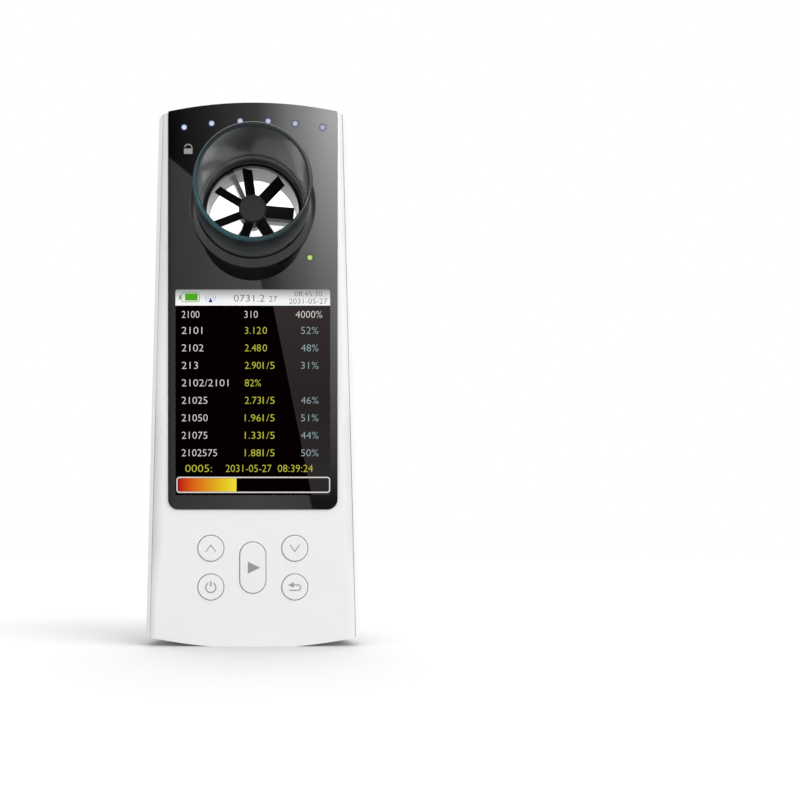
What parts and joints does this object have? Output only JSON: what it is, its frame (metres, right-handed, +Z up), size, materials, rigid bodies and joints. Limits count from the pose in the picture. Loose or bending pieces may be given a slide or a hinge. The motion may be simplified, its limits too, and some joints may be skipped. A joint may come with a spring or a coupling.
{
  "type": "spirometer",
  "caption": "Handheld spirometer: white two-part case, glossy front panel with a display, bladed turbine in a clear pull-out tube, round air outlet at the back, round and long keys.",
  "frame": {"origin": "centre of the bounding box's foot, on the surface that the case stands on", "axes": "+Z up along the case, the panel faces -Y, +X to the right as seen from the front"},
  "size_m": [0.0608, 0.0458, 0.1526],
  "materials": {
    "white_abs": "satin, very fine texture",
    "key_white": "satin",
    "panel_acrylic": "polished",
    "black_tape": "matt",
    "black_gloss": "glossy",
    "black_matte": "satin",
    "clear_tube": "clear polished plastic",
    "display_glass": "polished",
    "silicone": "matt",
    "foam": "matt foam",
    "flex_film": "satin film",
    "circuit_board": "satin",
    "battery_wrap": "satin film",
    "steel": "bright",
    "brass": "turned"
  },
  "bodies": {
    "housing": {"front_cover": "white_abs", "rear_cover": "white_abs", "front_panel": "panel_acrylic", "panel_tape": "black_tape", "port_gasket": "silicone", "switch_bodies": "black_matte", "display_gasket": "foam", "display_glass": "display_glass", "display_backlight": "white_abs", "display_flex": "flex_film", "main_board": "circuit_board", "main_chips": "black_matte", "radio_module": "steel", "buzzer": "black_matte", "charge_socket": "steel", "battery_plug": "white_abs", "ir_emitter": "black_matte", "ir_receiver": "black_matte", "breath_lamps": "white_abs", "status_lamp": "white_abs", "light_guide": "clear_tube", "status_guide": "clear_tube", "battery_cell": "battery_wrap", "battery_guard": "circuit_board", "battery_pad": "foam", "case_screws": "steel", "board_screws": "steel"},
    "lock_ring": {"lock_ring": "black_gloss"},
    "turbine": {"turbine_tube": "clear_tube", "turbine_frame": "black_matte", "axle_pin": "steel"},
    "rotor": {"rotor": "black_matte", "rotor_bush": "brass"},
    "key_up": {"key_up": "key_white", "plunger_up": "black_matte"},
    "key_down": {"key_down": "key_white", "plunger_down": "black_matte"},
    "key_power": {"key_power": "key_white", "plunger_power": "black_matte"},
    "key_back": {"key_back": "key_white", "plunger_back": "black_matte"},
    "key_start": {"key_start": "key_white", "plunger_start": "black_matte"}
  },
  "joints": [
    {"name": "ring_turn", "type": "hinge", "parent": "housing", "child": "lock_ring", "pos_m": [0, 0, 0.1235], "axis": [0, -1, 0], "range_deg": [0, 35]},
    {"name": "turbine_slide", "type": "slide", "parent": "lock_ring", "child": "turbine", "axis": [0, -1, 0], "range_m": [0, 0.036]},
    {"name": "rotor_spin", "type": "hinge", "parent": "turbine", "child": "rotor", "pos_m": [0, 0, 0.1235], "axis": [0, -1, 0], "continuous": true},
    {"name": "key_up_press", "type": "slide", "parent": "housing", "child": "key_up", "axis": [0, 1, 0], "range_m": [0, 0.0005], "stiffness_N_per_m": 1200},
    {"name": "key_down_press", "type": "slide", "parent": "housing", "child": "key_down", "axis": [0, 1, 0], "range_m": [0, 0.0005], "stiffness_N_per_m": 1200},
    {"name": "key_power_press", "type": "slide", "parent": "housing", "child": "key_power", "axis": [0, 1, 0], "range_m": [0, 0.0005], "stiffness_N_per_m": 1200},
    {"name": "key_back_press", "type": "slide", "parent": "housing", "child": "key_back", "axis": [0, 1, 0], "range_m": [0, 0.0005], "stiffness_N_per_m": 1200},
    {"name": "key_start_press", "type": "slide", "parent": "housing", "child": "key_start", "axis": [0, 1, 0], "range_m": [0, 0.0005], "stiffness_N_per_m": 1200}
  ]
}
